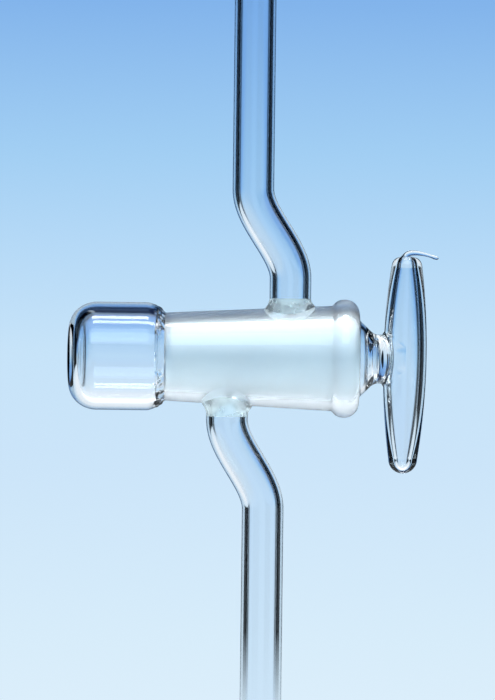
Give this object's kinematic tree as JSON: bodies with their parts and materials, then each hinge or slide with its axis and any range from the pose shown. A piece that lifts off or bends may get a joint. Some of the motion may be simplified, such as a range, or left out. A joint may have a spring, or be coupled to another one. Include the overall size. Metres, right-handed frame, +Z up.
{
  "type": "glass stopcock",
  "caption": "Greased high-vacuum glass stopcock: hollow ground key with a T handle in a tapered barrel, closed vacuum cup, oblique bore and bent side arms above and below.",
  "frame": {"origin": "on the key's axis of rotation, midway between the two side-arm seals, inside the barrel where a clamp grips it", "axes": "+X along the key axis to the handle, +Z up the upper arm, +Y away from the side seen with the handle on the right"},
  "size_m": [0.0811, 0.026, 0.18],
  "materials": {
    "clear_glass": "fire-polished borosilicate glass",
    "ground_glass": "ground on the sealing face, polished on the other",
    "grease": "thin film of clear silicone vacuum grease"
  },
  "bodies": {
    "barrel": {"barrel_shell": "ground_glass", "mouth_bead": "clear_glass", "cup_weld_ring": "clear_glass", "vacuum_cup": "clear_glass", "upper_arm": "clear_glass", "upper_arm_weld": "clear_glass", "lower_arm": "clear_glass", "lower_arm_weld": "clear_glass"},
    "grease": {"grease_film": "grease"},
    "key": {"plug_shell": "ground_glass", "plug_nose": "clear_glass", "bore_tube": "clear_glass", "plug_shoulder": "clear_glass", "handle_neck": "clear_glass", "handle_bar": "clear_glass", "handle_upper_end": "clear_glass", "handle_lower_end": "clear_glass", "handle_tail": "clear_glass"}
  },
  "joints": [
    {"name": "key_pull", "type": "slide", "parent": "barrel", "child": "grease", "axis": [1, 0, 0], "range_m": [0, 0.046]},
    {"name": "key_turn", "type": "hinge", "parent": "grease", "child": "key", "pos_m": [0, 0, 0], "axis": [1, 0, 0], "continuous": true}
  ]
}
